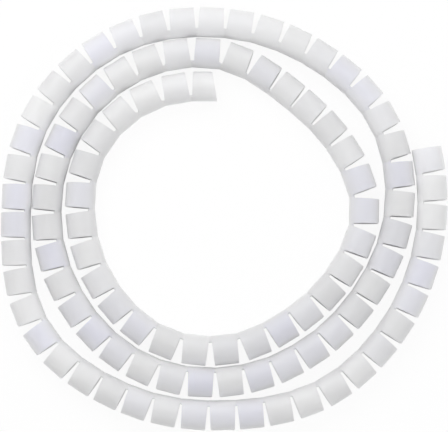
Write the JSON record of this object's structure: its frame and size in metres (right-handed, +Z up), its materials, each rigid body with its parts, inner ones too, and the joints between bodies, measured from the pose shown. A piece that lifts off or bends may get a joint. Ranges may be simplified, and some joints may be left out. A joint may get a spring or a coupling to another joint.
{
  "type": "cable sleeve",
  "caption": "Soft plastic cable sleeve, slotted crosswise and split lengthwise into C-shaped rings on one spine, lying as a loose flat coil.",
  "frame": {"origin": "on the floor, under the middle of the coil's plan", "axes": "+Z up, out of the coil's flat side; +X to the right in the picture, which looks down with +Y up the picture"},
  "size_m": [0.3271, 0.3105, 0.022],
  "materials": {
    "plastic": "satin, slightly translucent polyethylene"
  },
  "bodies": {
    "root": {"sleeve": "plastic"}
  },
  "joints": []
}
